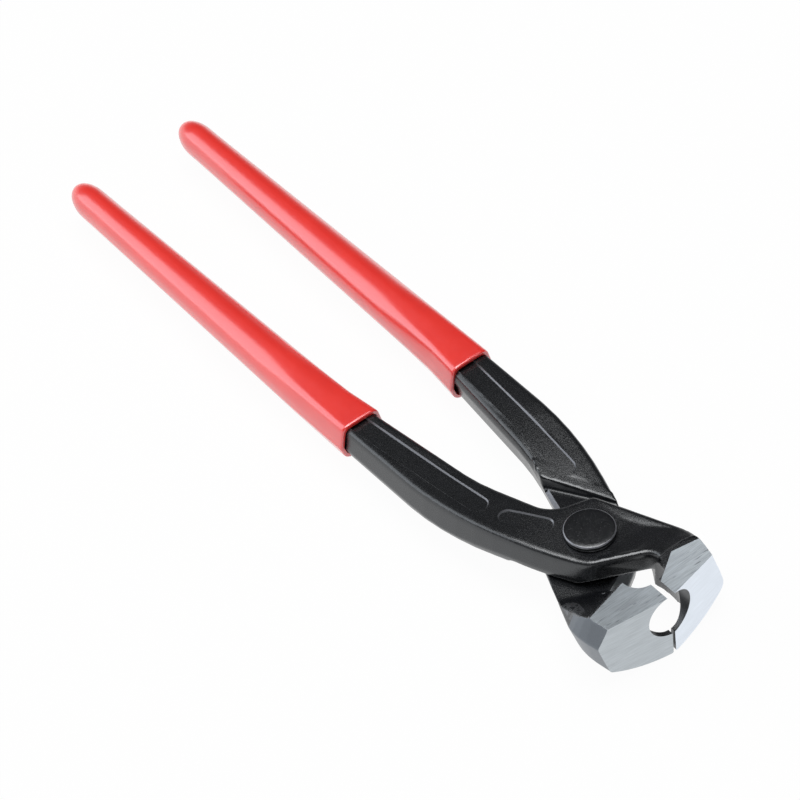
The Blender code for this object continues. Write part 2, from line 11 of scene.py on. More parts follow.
import bmesh
import bpy
import numpy as np
from mathutils import Matrix, Vector
from mathutils.bvhtree import BVHTree


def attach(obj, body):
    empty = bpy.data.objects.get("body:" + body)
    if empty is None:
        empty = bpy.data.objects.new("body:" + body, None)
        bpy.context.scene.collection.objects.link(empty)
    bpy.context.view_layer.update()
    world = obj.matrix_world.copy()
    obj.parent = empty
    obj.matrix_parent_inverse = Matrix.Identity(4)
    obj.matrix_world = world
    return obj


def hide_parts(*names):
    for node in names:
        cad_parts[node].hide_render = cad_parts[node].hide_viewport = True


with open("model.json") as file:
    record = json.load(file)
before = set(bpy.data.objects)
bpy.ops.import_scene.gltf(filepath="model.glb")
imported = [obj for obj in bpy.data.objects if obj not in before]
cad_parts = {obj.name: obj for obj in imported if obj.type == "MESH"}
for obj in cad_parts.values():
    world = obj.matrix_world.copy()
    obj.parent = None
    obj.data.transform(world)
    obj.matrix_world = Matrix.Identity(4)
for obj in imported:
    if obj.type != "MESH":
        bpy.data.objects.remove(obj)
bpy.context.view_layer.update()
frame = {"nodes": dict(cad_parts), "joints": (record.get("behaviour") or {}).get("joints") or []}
MM = 0.001
PIVOT = Vector(frame["joints"][0]["pos_m"])
ORIGIN = np.array(PIVOT)

# Reach of the cutters, well past the part, and the X behind the facets where theirs starts
FAR = 60
WIDE = 40
TALL = 30
FACET_BACK = 7

# Sizes shared with the solids: jaws
FRONT_REACH = 29.7
FRONT_SWEEP = {"front": 12.0, "rear": 7.5}  # degrees
JAW_TOP = 9.3
BELLY_DEPTH = 10.6
BELLY_RADIUS = 36.0
CAVITY_END = 23.7
HOLE_RADIUS = 6.5
HOLE_BREAK = 0.8  # half width of the gap where the hole breaks out of the facets
HOLE_BACK = 20.0
HOLE_HEIGHT = JAW_TOP - math.sqrt(HOLE_RADIUS**2 - HOLE_BREAK**2)
HOLLOW_X = 20.3
HOLLOW_SECTIONS = ((6.2, 6.2, 1.09), (-3.5, 7.8, 1.10), (-12.2, 7.1, 1.48))  # height, radius, spread in Y

# Sizes shared with the solids: panels (start, end, radius of the ends, side that they face), the relief, the
# rivet and the grips
PANELS = {
    "top": ((-75.0, -17.5), (-26.2, -13.1), 2.6, 1),
    "bottom": ((-75.0, -15.5), (-24.0, -12.0), 2.6, -1),
    "short": ((-18.0, -10.8), (-9.5, -6.0), 2.2, 1),
}
PANEL_DEPTH = 0.4
RELIEF_TOE = (9.0, -7.4)
RELIEF_ANGLE = math.radians(63.0)
RELIEF_DEPTH = 2.8
RELIEF_HEIGHT = 3.0
RIVET_SEAT = 7.3
RIVET_FACE = 8.9
RIVET_HEAD = 6.45
RIVET_SHANK = 4.2
GRIP_TIP_LENGTH = 8.0
GRIP_WALL = 1.0

# The slit between the jaws: ends in X and Z, and its half widths behind and in front at its foot and head
SLIT_X = (22.0, 40.0)
SLIT_Z = (1.0, 10.5)
SLIT_HALF = ((0.40, 0.40), (0.88, 0.50))

# Forging and grinding: rounds of smoothing, their share on the jaw, and more rounds along its outer ridge
VOXEL = 0.28 * MM
SMOOTHING = 11
JAW_SMOOTHING = 0.45
JAW_BLEND = (8.0, 14.0)
CORNER_ROUNDS = {"front": 320, "rear": 30}
CORNER_X = (10.0, 16.0)
CORNER_Y = (12.0, 15.0)
CORNER_Z = -4.0
CORNER_FADE = (4.0, 8.0)
LEAST_WEIGHT = 0.01
GRIND = 0.03
STOCK = 1.5
SINK = 0.3  # how deep a filler starts inside the solid
PANEL_BEVEL = 0.30
PANEL_PLUG_MARGIN = 0.06
PANEL_MOUTH = (0.45, 1.0)  # growth past the outline and height of the cutter's top
TANG_SHARE = 0.74  # what is left of the tang's section inside the rounder sleeve
TANG_FADE = (2.0, 30.0)  # depth behind the lip over which it narrows

# The shoulder between the lap floor and the handle, measured along (run) and square to (distance) a line
# through the pivot. On the rear lever the handle's top is run on as a plane, down to a step given by its foot
# and edge.
SHOULDER_ANGLE = math.radians(-30.4)
SHOULDER_ALONG = np.array((math.cos(SHOULDER_ANGLE), math.sin(SHOULDER_ANGLE)))
SHOULDER_AWAY = np.array((SHOULDER_ALONG[1], -SHOULDER_ALONG[0]))
SHOULDER_LEAN = math.radians(30.0)
SHOULDER_TOP = -0.31
SHOULDER_FALL = -0.095
SHOULDER_RISE = 0.06
SHOULDER_RUN = (-30, 10)
SHOULDER_SPAN = 30
SHOULDER_EDGE = ((17.3, -18.8), (21.8, -23.0), (21.8, -13.0), (17.3, -13.0))  # distance, run
SHOULDER_EDGE_FOOT = -0.5
SHOULDER_BLOCK = 4.0
SHOULDER_CEILING = 12
STEP = ((16.2, -1.0), (17.4, 2.0))  # distance, height
STEP_START = 10.0
STEP_TOP = 1.8
# The edges' rubbed steel and painted highlight are left off the shoulder between these distances, and fade in
# X as given next
UNMARKED_SHOULDER = (14.0, 23.0)  # distances between which the shoulder shows no wear
WEAR_AND_HIGHLIGHT_FADE = ((-5.0, 3.0), (1.0, 0.45))  # X, share of the wear
LAP_SIDE_DEPTH = -0.6
LAP_RUN_END = 6.0

# The bevelled inner edge of the lap floor, in the lever's own plan
BEVEL_LINE = ((-23.2, -4.56), (-8.0, -0.34))
BEVEL = 1.3
BEVEL_LIFT = 0.1
BEVEL_REACH = 3.0

# A corner of the rear jaw painted bright: a painted reflection
PAINTED_GLINT = {"rear": ((11.0, -15.6), (16.4, -17.6))}
PAINTED_GLINT_REACH = 1.6
PAINTED_GLINT_SHARE = 0.30
PAINTED_GLINT_LOW = -3.0

# Where the jaws' sides, which carry a painted sheen, start and how squarely they face outwards, and where the
# relief ends, in X
JAW_SIDE_X = 15.5
JAW_SIDE_FACING = 0.72
RELIEF_END = 18.0

# Where grinding stopped on the facets: two points of each line
FACET_LINES = {
    "front": (((19.05, 9.05), (20.23, 15.77)), ((22.85, 3.45), (19.05, 9.05))),
    "rear": (((21.75, -18.10), (18.60, -5.17)),),
}

# The rivet's looks: rise of the domed face, and the rounded rim
RIVET_DOME = 0.10
RIVET_RIM = 0.55
RIVET_RIM_DEPTH = 0.66

# The sleeves' looks: rolled lip, end of the bore from the tip, parting ridge, and how oval they are by
# distance from the lip
LIP_RUN = 0.8
LIP_ROUND = 0.45
LIP_INNER = 0.55
BORE_END = 4.4
RIDGE = 0.10
RIDGE_START = 5.0
RIDGE_FADE = 8.0
RIDGE_SPREAD = 0.42
OVAL_SHARE = ((2.0, 34.0), (0.1, 1.0))
OVAL_HEIGHT = 1.08
OVAL_FULLNESS = 0.82  # power of the lower half, fuller than an ellipse

# Material slots of a lever
BLACK_SLOT, FACET_SLOT, FRONT_SLOT, BORE_SLOT, RELIEF_SLOT, HIGHLIGHT_SLOT, SHEEN_SIDE_SLOT, STEP_SLOT = range(8)

# The camera fitted to the photograph: angles from degrees, pixels of its square picture, and a sensor in mm
AZIMUTH, ELEVATION, ROLL = (math.radians(angle) for angle in (57.215, 45.856, 7.481))
PICTURE = 800.0
FOCAL = 4000.0
PIVOT_U, PIVOT_V = 591.628, 552.57
PIXELS_PER_MM = 4.206
SENSOR = 36.0

# The stage: the floor lies this far under the tool, in metres
FLOOR_GAP = 0.0002
FLOOR_SHARE = 0.965  # how white the floor looks; the rest keeps the shadow
SKY = ((0.05, 1.0), (0.38, 0.16), (1.0, 0.12))  # height, grey
SKY_FALL = (("From Min", -0.2), ("From Max", 0.5), ("To Min", 1.0), ("To Max", 0.4))  # strength by Y


class Nodes:
    """A short hand for building a node material."""

    def __init__(self, name):
        self.material = bpy.data.materials.new(name)
        self.material.use_nodes = True
        self.tree = self.material.node_tree
        self.shader = self.tree.nodes["Principled BSDF"]

    def add(self, kind, **values):
        node = self.tree.nodes.new(kind)
        for key, value in values.items():
            setattr(node, key, value)
        return node

    def join(self, source, target):
        self.tree.links.new(source, target)

    def feed(self, source, name):
        self.join(source, self.shader.inputs[name])

    def place(self, scale=(1, 1, 1), turn=0.0):
        where = self.add("ShaderNodeTexCoord")
        mapping = self.add("ShaderNodeMapping", vector_type="TEXTURE")
        mapping.inputs["Scale"].default_value = scale
        mapping.inputs["Rotation"].default_value = (0, 0, turn)
        self.join(where.outputs["Object"], mapping.inputs["Vector"])
        return mapping.outputs["Vector"]

    def noise(self, vector, scale, detail=4.0, roughness=0.55):
        node = self.add("ShaderNodeTexNoise")
        node.inputs["Scale"].default_value = scale
        node.inputs["Detail"].default_value = detail
        node.inputs["Roughness"].default_value = roughness
        self.join(vector, node.inputs["Vector"])
        return node.outputs["Fac"]

    def ramp(self, source, stops):
        node = self.add("ShaderNodeValToRGB")
        elements = node.color_ramp.elements
        while len(elements) < len(stops):
            elements.new(0.5)
        for element, (at, colour) in zip(elements, stops):
            element.position = at
            if isinstance(colour, (int, float)):
                colour = (colour, colour, colour)
            element.color = (*colour, 1)
        self.join(source, node.inputs["Fac"])
        return node.outputs["Color"]

    def mix(self, factor, first, second):
        """A colour mix; its colour sockets are the seventh and eighth, and the third output."""
        node = self.add("ShaderNodeMix", data_type="RGBA")
        for value, socket in ((factor, node.inputs[0]), (first, node.inputs[6]), (second, node.inputs[7])):
            if isinstance(value, bpy.types.NodeSocket):
                self.join(value, socket)
            elif isinstance(value, tuple):
                socket.default_value = (*value, 1)
            else:
                socket.default_value = value
        return node.outputs[2]

    def bump(self, height, strength, distance):
        node = self.add("ShaderNodeBump")
        node.inputs["Strength"].default_value = strength
        node.inputs["Distance"].default_value = distance
        self.join(height, node.inputs["Height"])
        return node.outputs["Normal"]

    def set(self, **values):
        for key, value in values.items():
            self.shader.inputs[key.replace("_", " ")].default_value = value


def black_steel(name, roughness=0.25, edge_wear_and_highlight=0.6, gloss=1.0):
    """Forged steel, blackened: satin, faintly grained, bright along proud edges, partly as rubbed steel and
    partly as a painted highlight.
    """
    nodes = Nodes(name)
    place = nodes.place()
    coarse = nodes.noise(place, 420, 6)
    fine = nodes.noise(place, 2600, 5, 0.65)
    colour = nodes.ramp(coarse, [(0.30, (0.0030, 0.0034, 0.0044)), (0.72, (0.0062, 0.0068, 0.0085))])
    proud = nodes.add("ShaderNodeAttribute", attribute_name="edge_wear_and_highlight")
    # Bright steel along proud edges: partly rubbed steel, partly a painted highlight
    edge = nodes.ramp(proud.outputs["Fac"], [(0.035, 0.0), (0.11, 1.0)])
    patchy = nodes.ramp(nodes.noise(place, 700, 5, 0.6), [(0.40, 0.0), (0.62, 1.0)])
    rubbed_and_lit = nodes.add("ShaderNodeMath", operation="MULTIPLY")
    nodes.join(edge, rubbed_and_lit.inputs[0])
    nodes.join(patchy, rubbed_and_lit.inputs[1])
    amount = nodes.add("ShaderNodeMath", operation="MULTIPLY")
    nodes.join(rubbed_and_lit.outputs[0], amount.inputs[0])
    amount.inputs[1].default_value = edge_wear_and_highlight
    nodes.feed(nodes.mix(amount.outputs[0], colour, (0.34, 0.35, 0.37)), "Base Color")
    nodes.feed(nodes.ramp(fine, [(0.25, roughness - 0.08), (0.75, roughness + 0.10)]), "Roughness")
    nodes.feed(rubbed_and_lit.outputs[0], "Metallic")
    nodes.feed(nodes.bump(fine, 0.18, 0.00012), "Normal")
    nodes.set(Specular_IOR_Level=gloss, Specular_Tint=(0.94, 0.97, 1.0, 1.0))
    return nodes.material


def ground_steel(name, colour, roughness, depth, contrast=0.3, marks=0.0, turn=0.0):
    """Ground steel: fine lines across the jaw, turned into the face they lie on."""
    nodes = Nodes(name)
    lines = nodes.noise(nodes.place((1, 40, 1), turn), 7000, 5, 0.7)
    broad = nodes.noise(nodes.place((1, 24, 1), turn), 3200, 4, 0.6)
    cloud = nodes.noise(nodes.place(), 160, 3)
    tone = nodes.add("ShaderNodeMath", operation="MULTIPLY_ADD")
    nodes.join(broad, tone.inputs[0])
    tone.inputs[1].default_value = 0.5
    nodes.join(lines, tone.inputs[2])
    dark = tuple((1 - contrast) * value for value in colour)
    pale = tuple(min(1.0, (1 + contrast / 2) * value) for value in colour)
    dull = tuple(0.85 * value for value in colour)
    steel = nodes.ramp(tone.outputs[0], [(0.50, dark), (0.95, pale)])
    shade = nodes.mix(nodes.ramp(cloud, [(0.35, 0.0), (0.7, 0.25)]), steel, dull)
    if marks:
        scratch = nodes.noise(nodes.place((1, 7, 1), turn), 1100, 2)
        shade = nodes.mix(nodes.ramp(scratch, [(0.66, 0.0), (0.73, marks)]), shade, (0.05, 0.05, 0.055))
    nodes.feed(shade, "Base Color")
    nodes.feed(nodes.ramp(lines, [(0.3, roughness - 0.06), (0.7, roughness + 0.10)]), "Roughness")
    nodes.set(Metallic=1.0, Anisotropic=0.4)
    nodes.feed(nodes.bump(lines, depth, 0.00006), "Normal")
    return nodes.material


def dipped_vinyl(name):
    """Glossy dipped vinyl: even red, faintly mottled, a clear skin with a trace of flow."""
    nodes = Nodes(name)
    place = nodes.place()
    mottle = nodes.noise(place, 90, 3)
    colour = nodes.ramp(mottle, [(0.3, (0.88, 0.025, 0.015)), (0.7, (0.94, 0.032, 0.019))])
    nodes.feed(colour, "Base Color")
    skin = nodes.noise(place, 900, 3)
    nodes.feed(nodes.ramp(skin, [(0.3, 0.28), (0.7, 0.35)]), "Roughness")
    nodes.set(Coat_Weight=1.0, Coat_Roughness=0.22, Coat_IOR=1.75)
    nodes.set(Specular_IOR_Level=1.0, Specular_Tint=(1.0, 0.86, 1.0, 1.0))
    nodes.feed(nodes.bump(nodes.noise(place, 260, 3), 0.06, 0.0003), "Normal")
    return nodes.material


def link(name, mesh):
    item = bpy.data.objects.new(name, mesh)
    bpy.context.scene.collection.objects.link(item)
    return item


def apply_modifiers(item):
    """The object's modifiers made part of its mesh."""
    graph = bpy.context.evaluated_depsgraph_get()
    mesh = bpy.data.meshes.new_from_object(item.evaluated_get(graph))
    item.modifiers.clear()
    item.data = mesh


def welded_copy(node, name):
    """A copy of a CAD node with its facets joined at their corners."""
    mesh = frame["nodes"][node].data.copy()
    builder = bmesh.new()
    builder.from_mesh(mesh)
    bmesh.ops.remove_doubles(builder, verts=builder.verts, dist=2e-7)
    builder.to_mesh(mesh)
    builder.free()
    mesh.materials.clear()
    return link(name, mesh)


def bridge(builder, rings):
    """Faces between each ring of points and the next."""
    for near, far in zip(rings, rings[1:]):
        for i in range(len(near)):
            j = (i + 1) % len(near)
            builder.faces.new((near[i], near[j], far[j], far[i]))


def built(builder, name):
    """The object of what was built, its faces turned outwards."""
    bmesh.ops.recalc_face_normals(builder, faces=builder.faces)
    mesh = bpy.data.meshes.new(name)
    builder.to_mesh(mesh)
    builder.free()
    return link(name, mesh)


def solid(rings, name):
    """A closed solid through rings of points given in millimetres, all with the same number of points."""
    builder = bmesh.new()
    loops = [[builder.verts.new(PIVOT + Vector(point) * MM) for point in ring] for ring in rings]
    bridge(builder, loops)
    builder.faces.new(loops[0])
    builder.faces.new(loops[-1])
    return built(builder, name)


def upright(loop, low, high, name):
    return solid([[(x, y, z) for x, y in loop] for z in (low, high)], name)


def merge(item, others):
    """The other objects' faces added to one object's mesh."""
    builder = bmesh.new()
    for part in (item, *others):
        builder.from_mesh(part.data)
    builder.to_mesh(item.data)
    builder.free()
    discard(others)


def discard(items):
    for item in items:
        bpy.data.objects.remove(item)


def cut(item, cutters):
    """The cutters taken out of the object, and removed."""
    for cutter in cutters:
        modifier = item.modifiers.new(cutter.name, "BOOLEAN")
        modifier.operation = "DIFFERENCE"
        modifier.solver = "EXACT"
        modifier.object = cutter
    apply_modifiers(item)
    discard(cutters)


def arrays(mesh):
    """Points, normals and edges of a mesh."""
    co = np.empty(len(mesh.vertices) * 3)
    mesh.vertices.foreach_get("co", co)
    normals = np.empty(len(mesh.vertices) * 3)
    mesh.vertices.foreach_get("normal", normals)
    edges = np.empty(len(mesh.edges) * 2, int)
    mesh.edges.foreach_get("vertices", edges)
    return co.reshape(-1, 3), normals.reshape(-1, 3), edges.reshape(-1, 2)


def add_wear_and_highlight(mesh, rounds, keep=1.0, extra=0.0):
    """How far each point stands proud of its neighbours, kept for the rubbed steel and the painted highlight
    along the edges.
    """
    co, normals, edges = arrays(mesh)
    a, b = edges.T
    step = co[b] - co[a]
    length = np.linalg.norm(step, axis=1) + 1e-9
    total = np.zeros(len(co))
    count = np.zeros(len(co))
    for start, end, sign in ((a, b, 1), (b, a, -1)):
        fall = -(normals[start] * step * sign).sum(axis=1) / length
        np.add.at(total, start, np.clip(fall, -0.5, 0.5))
        np.add.at(count, start, 1)
    proud = total / np.maximum(count, 1)
    for _ in range(rounds):
        total = np.zeros(len(co))
        np.add.at(total, a, proud[b])
        np.add.at(total, b, proud[a])
        proud = 0.5 * proud + 0.5 * total / np.maximum(count, 1)
    layer = mesh.attributes.new("edge_wear_and_highlight", "FLOAT", "POINT")
    layer.data.foreach_set("value", (proud * keep + extra).astype(np.float32))


def finish_mesh(item, angle):
    """Smooth shading, with edges sharper than the angle left sharp."""
    item.data.shade_smooth()
    item.data.set_sharp_from_angle(angle=math.radians(angle))


def smooth_by(item, weight, rounds):
    """Each point drawn towards its neighbours by its weight, over and over."""
    group = item.vertex_groups.new(name="smooth")
    for index in np.flatnonzero(weight > LEAST_WEIGHT):
        group.add([int(index)], float(weight[index]), "REPLACE")
    smooth = item.modifiers.new("smooth", "SMOOTH")
    smooth.factor = 0.5
    smooth.iterations = rounds
    smooth.vertex_group = group.name
    apply_modifiers(item)
    item.vertex_groups.clear()


def soften(item):
    """The forging's edges rounded, less on the jaw than on the handle."""
    x = arrays(item.data)[0][:, 0] / MM - PIVOT.x / MM
    smooth_by(item, np.interp(x, JAW_BLEND, (1.0, JAW_SMOOTHING)), SMOOTHING)


def round_corner(item, side, rounds):
    """The ridge along the jaw's outer side rounded further."""
    own = (arrays(item.data)[0] - ORIGIN) / MM * np.array((1, side, 1))
    weight = np.interp(own[:, 1], CORNER_Y, (0, 1)) * np.interp(own[:, 0], CORNER_X, (0, 1))
    weight *= np.interp(np.abs(own[:, 2] - CORNER_Z), CORNER_FADE, (1, 0))
    smooth_by(item, weight, rounds)


def front_cutter(body, side):
    """Stock ahead of one ground front face."""
    lean = math.tan(math.radians(FRONT_SWEEP[body]))
    reach = FRONT_REACH - GRIND
    loop = [(reach + lean, -side), (reach - WIDE * lean, WIDE * side), (FAR, WIDE * side), (FAR, -side)]
    return upright(loop, -TALL, TALL, body + "_front_cut")


def facet_cutter(body):
    """Stock over the ground facet."""
    loop = [(FACET_BACK, -FAR), (FAR, -FAR), (FAR, FAR), (FACET_BACK, FAR)]
    return upright(loop, JAW_TOP - GRIND, TALL, body + "_facet_cut")


def hole_cutter(count=128):
    """The round hole across the slit, drilled from the front."""
    angles = [2 * math.pi * i / count for i in range(count)]
    radius = HOLE_RADIUS + GRIND
    loop = [(radius * math.cos(a), HOLE_HEIGHT + radius * math.sin(a)) for a in angles]
    return solid([[(x, y, z) for y, z in loop] for x in (HOLE_BACK, FAR)], "hole_cut")


def hollow_cutter(count=96):
    """The hollow behind the front wall, spreading sideways to its mouth."""
    angles = [2 * math.pi * (i + 0.5) / count for i in range(count)]
    rings = []
    for height, radius, spread in HOLLOW_SECTIONS:
        grown = radius + GRIND
        loop = [(HOLLOW_X + grown * math.cos(a), grown * spread * math.sin(a)) for a in angles]
        rings.append([(x, y, height + GRIND) for x, y in loop])
    return solid(rings, "hollow_cut")


def slit_cutter():
    """The slit, which opens a little towards the facets."""
    back, front = SLIT_X
    rings = []
    for z, (behind, before) in zip(SLIT_Z, SLIT_HALF):
        rings.append([(back, -behind, z), (front, -before, z), (front, before, z), (back, behind, z)])
    return solid(rings, "slit_cut")


def panel_line(panel):
    """Start, end and length of a panel in the lever's own plan."""
    start, end = np.array(panel[0]), np.array(panel[1])
    return start, end, np.linalg.norm(end - start)


def panel_bar(floor, panel, side, low, high, name):
    """A bar with round ends along a panel.

    Low and high each give its growth past the panel's outline and its height over the panel's floor.
    """
    start, end, length = panel_line(panel)
    radius, facing = panel[2:]
    ahead = (end - start) / length
    aside = np.array([-ahead[1], ahead[0]])

    def corner(place, angle, sign, level):
        grown, height = level
        run = place - math.copysign(radius + grown, length / 2 - place) * math.cos(angle)
        x, y = start + ahead * run + aside * sign * (radius + grown) * math.sin(angle)
        return (x, y * side, floor(run) + height * facing * side)

    angles = np.linspace(math.radians(5), math.pi / 2, 8)
    stations = [(0.0, a) for a in angles]
    stations += [(length * share, math.pi / 2) for share in np.linspace(0, 1, 26)[1:-1]]
    stations += [(length, a) for a in reversed(angles)]
    corners = ((-1, low), (1, low), (1, high), (-1, high))
    rings = [[corner(place, angle, sign, level) for sign, level in corners] for place, angle in stations]
    return solid(rings, name)


def panel_floor(tree, panel, side):
    """Height of a panel's floor along its middle, from rays cast onto the CAD solid."""
    start, end, length = panel_line(panel)
    radius, facing = panel[2:]
    runs = np.linspace(-0.7 * radius, length + 0.7 * radius, 24)
    heights = []
    for run in runs:
        x, y = start + (end - start) * run / length
        above = PIVOT + Vector((x, y * side, TALL * facing * side)) * MM
        hit = tree.ray_cast(above, Vector((0, 0, -facing * side)))[0]
        heights.append((hit.z - PIVOT.z) / MM)
    return np.poly1d(np.polyfit(runs, heights, 4))


def stock(mesh, chosen, direction, name, height=STOCK):
    """Chosen faces grown outwards, so that the forging runs on past them until they are cut."""
    builder = bmesh.new()
    builder.from_mesh(mesh)
    bmesh.ops.delete(builder, geom=[face for face in builder.faces if not chosen(face)], context="FACES")
    bmesh.ops.translate(builder, vec=direction * -SINK * MM, verts=builder.verts)
    grown = bmesh.ops.extrude_face_region(builder, geom=builder.faces[:], use_keep_orig=True)["geom"]
    moved = [item for item in grown if isinstance(item, bmesh.types.BMVert)]
    bmesh.ops.translate(builder, vec=direction * (height + SINK) * MM, verts=moved)
    return built(builder, name)


def shoulder_fill(item, side, body):
    """The handle's top run on over the lap floor, down to a short steep step."""
    outward = Vector((*(-SHOULDER_AWAY * math.cos(SHOULDER_LEAN)), -math.sin(SHOULDER_LEAN)))
    outward.y *= side
    outward.z *= side

    def chosen(face):
        flat = face.normal.z * -side > 0.999 and abs(face.calc_center_median().z - PIVOT.z) < 0.4 * MM
        return flat or face.normal @ outward > 0.999

    def point(distance, run, height):
        x, y = SHOULDER_AWAY * distance + SHOULDER_ALONG * run
        return (x, y * side, -height * side)

    def top(distance, run):
        return SHOULDER_TOP + SHOULDER_FALL * run + SHOULDER_RISE * distance

    block = stock(item.data, chosen, Vector((0, 0, -side)), body + "_shoulder", SHOULDER_BLOCK)
    over = []
    for run in SHOULDER_RUN:
        slope = [(d, top(d, run)) for d in (0, SHOULDER_SPAN)]
        loop = slope + [(SHOULDER_SPAN, SHOULDER_CEILING), (0, SHOULDER_CEILING)]
        over.append([point(d, run, h) for d, h in loop])
    (foot, low), (edge, high) = STEP
    far = foot + (edge - foot) * (SHOULDER_CEILING - low) / (high - low)
    loop = [(-FAR, low), (foot, low), (far, SHOULDER_CEILING), (-FAR, SHOULDER_CEILING)]
    ahead = [[point(d, run, h) for d, h in loop] for run in (-FAR, FAR)]
    cut(block, [solid(over, body + "_over"), solid(ahead, body + "_ahead")])
    plug = [
        [point(d, run, SHOULDER_EDGE_FOOT) for d, run in SHOULDER_EDGE],
        [point(d, run, top(d, run)) for d, run in SHOULDER_EDGE],
    ]
    return [block, solid(plug, body + "_shoulder_edge")]


def bevel_axes():
    """Start and end of the bevelled edge in the lever's own plan, and the direction outwards from it."""
    start, end = (np.array(place) for place in BEVEL_LINE)
    ahead = (end - start) / math.hypot(*(end - start))
    return start, end, np.array((-ahead[1], ahead[0]))


def bevel_cutter(body, side):
    """What is taken off the inner edge of the lap floor beside the handle."""
    start, end, aside = bevel_axes()
    slope_end = -BEVEL_REACH - BEVEL + BEVEL_LIFT
    loop = [(-BEVEL, BEVEL_LIFT), (BEVEL_REACH, slope_end)]
    loop += [(2 * BEVEL_REACH, BEVEL_REACH), (-BEVEL, BEVEL_REACH)]
    flip = np.array((1, side))
    rings = []
    for place in (start, end):
        rings.append([(*((place + aside * out) * flip), -height * side) for out, height in loop])
    return solid(rings, body + "_bevel")


def jaw_plug(side, body):
    """The inside of one jaw filled up ahead of the cavity, until the hole and the hollow are cut."""
    ys = (0.4, 4.0, 8.0, 12.0)
    belly = [(y, BELLY_RADIUS - BELLY_DEPTH - math.sqrt(BELLY_RADIUS**2 - y**2) + SINK) for y in ys]
    loop = belly + [(ys[-1], JAW_TOP + STOCK), (ys[0], JAW_TOP + STOCK)]
    ends = (CAVITY_END + 0.2, FRONT_REACH + STOCK)
    return solid([[(x, y * side, z) for y, z in loop] for x in ends], body + "_plug")


def ahead_of(points, line):
    """Distance of points past a line in plan, towards its right-hand side."""
    (x0, y0), (x1, y1) = line
    length = math.hypot(x1 - x0, y1 - y0)
    return ((points[:, 0] - x0) * (y1 - y0) - (points[:, 1] - y0) * (x1 - x0)) / length


def split_facet(mesh, lines):
    """The facet's faces cut along the lines where the grinding stopped."""
    builder = bmesh.new()
    builder.from_mesh(mesh)
    level = PIVOT.z + (JAW_TOP - GRIND) * MM

    def on_facet(face):
        return face.normal.z > 0.99 and abs(face.calc_center_median().z - level) < 2e-5

    for (x0, y0), (x1, y1) in lines:
        flat = [face for face in builder.faces if on_facet(face)]
        geometry = set(flat)
        for face in flat:
            geometry.update(face.edges)
            geometry.update(face.verts)
        place = PIVOT + Vector((x0, y0, 0)) * MM
        across = Vector((y1 - y0, x0 - x1, 0)).normalized()
        bmesh.ops.bisect_plane(builder, geom=list(geometry), dist=1e-7, plane_co=place, plane_no=across)
    builder.to_mesh(mesh)
    builder.free()


def on_relief(centre, normal, side):
    """Faces of the slanting relief along the plate's front edge."""
    own = centre * np.array((1, side, side))
    facing = normal * np.array((1, side, side))
    outward = np.array((math.sin(RELIEF_ANGLE), -math.cos(RELIEF_ANGLE), -RELIEF_DEPTH / RELIEF_HEIGHT))
    size = np.linalg.norm(outward)
    offset = (own - np.array((*RELIEF_TOE, RELIEF_HEIGHT))) @ outward / size
    return (np.abs(offset) < 0.25) & (facing @ outward / size > 0.93) & (own[:, 0] < RELIEF_END)


def on_bevel(centre, normal, side):
    """Faces of the bevel along the inner edge of the lap floor."""
    start, end, aside = bevel_axes()
    own = centre * np.array((1, side, side))
    facing = normal * np.array((1, side, side))
    out = (own[:, :2] - start) @ aside
    offset = out - own[:, 2] + BEVEL - BEVEL_LIFT
    tilt = (facing[:, :2] @ aside - facing[:, 2]) / math.sqrt(2)
    between = (own[:, 0] > start[0]) & (own[:, 0] < end[0])
    return between & (np.abs(offset) < 0.5) & (np.abs(out) < 2.5) & (tilt > 0.9)


def on_panel_wall(centre, normal, panel, floor, side):
    """Faces of the slanting wall round a panel."""
    start, end, length = panel_line(panel)
    radius, facing = panel[2:]
    ahead = (end - start) / length
    plan = centre[:, :2] * np.array((1, side)) - start
    run = plan @ ahead
    nearest = np.clip(run, 0, length)
    distance = np.linalg.norm(plan - nearest[:, None] * ahead, axis=1)
    height = (centre[:, 2] - floor(run)) * facing * side
    slope = normal[:, 2] * facing * side
    near = (distance > radius - PANEL_BEVEL - 0.05) & (distance < radius + 0.5)
    return near & (height > 0.02) & (height < 0.8) & (slope > 0.2) & (slope < 0.88)


def lap_place(points, side):
    """Distance of points square to the shoulder's line, height out of the lap plane, and which are near it."""
    own = points[:, :2] * np.array((1, side))
    height = -points[:, 2] * side
    return own @ SHOULDER_AWAY, height, (height > LAP_SIDE_DEPTH) & (own @ SHOULDER_ALONG < LAP_RUN_END)


def below_step(points, side):
    """Points of the step and of the lap floor ahead of it."""
    distance, height, there = lap_place(points, side)
    return there & (distance > STEP_START) & (distance < STEP[1][0] + 0.1) & (height < STEP_TOP)


def wear_and_highlight_share(points, side):
    """Full rubbed steel and painted highlight on the handle, less on the plate and the jaw, none on the
    shoulder.
    """
    distance, _, there = lap_place(points, side)
    shoulder = there & (distance > UNMARKED_SHOULDER[0]) & (distance < UNMARKED_SHOULDER[1])
    return np.interp(points[:, 0], *WEAR_AND_HIGHLIGHT_FADE) * (1.0 - shoulder)


def painted_glint(points, body):
    """A painted reflection added at the corner of a jaw: full within 0.4 of its reach, none past 1.4 of it."""
    if body not in PAINTED_GLINT:
        return 0.0
    start, end = (np.array(place) for place in PAINTED_GLINT[body])
    share = np.clip((points[:, :2] - start) @ (end - start) / ((end - start) @ (end - start)), 0, 1)
    distance = np.linalg.norm(points[:, :2] - start - share[:, None] * (end - start), axis=1)
    return PAINTED_GLINT_SHARE * np.clip(1.4 - distance / PAINTED_GLINT_REACH, 0, 1) * (points[:, 2] > PAINTED_GLINT_LOW)


